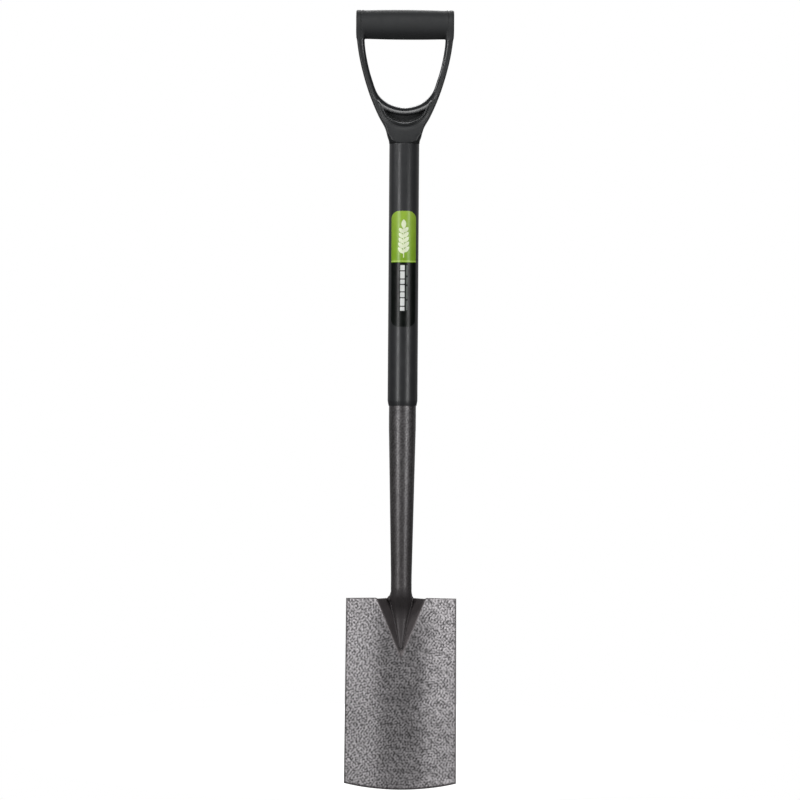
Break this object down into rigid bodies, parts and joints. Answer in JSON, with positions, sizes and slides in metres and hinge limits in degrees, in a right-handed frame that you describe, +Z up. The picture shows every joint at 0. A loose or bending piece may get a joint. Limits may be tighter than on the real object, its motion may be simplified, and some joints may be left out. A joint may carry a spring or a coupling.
{
  "type": "garden spade",
  "caption": "Digging spade with a dished steel blade, tapered tubular shaft welded into a V recess, plastic shaft sleeve and moulded D-shaped grip.",
  "frame": {"origin": "lowest point of the cutting edge, under the shaft axis", "axes": "+Z up the shaft from the blade to the grip, -Y out of the dished front of the blade, +X to the right seen from the front"},
  "size_m": [0.141, 0.0379, 0.983],
  "materials": {
    "blade_paint": "hammered grey paint",
    "tube_paint": "hammered grey paint",
    "weld_paint": "hammered grey paint over weld ripples",
    "sleeve_plastic": "smooth semi-gloss black",
    "yoke_plastic": "satin black moulding",
    "screw_steel": "zinc plated",
    "label_film": "gloss film, leaf green above black"
  },
  "bodies": {
    "root": {"blade": "blade_paint", "shaft_tube": "tube_paint", "weld_left": "weld_paint", "weld_right": "weld_paint", "weld_rear": "weld_paint", "shaft_sleeve": "sleeve_plastic", "handle_yoke": "yoke_plastic", "handle_screw": "screw_steel", "shaft_label": "label_film"}
  },
  "joints": []
}
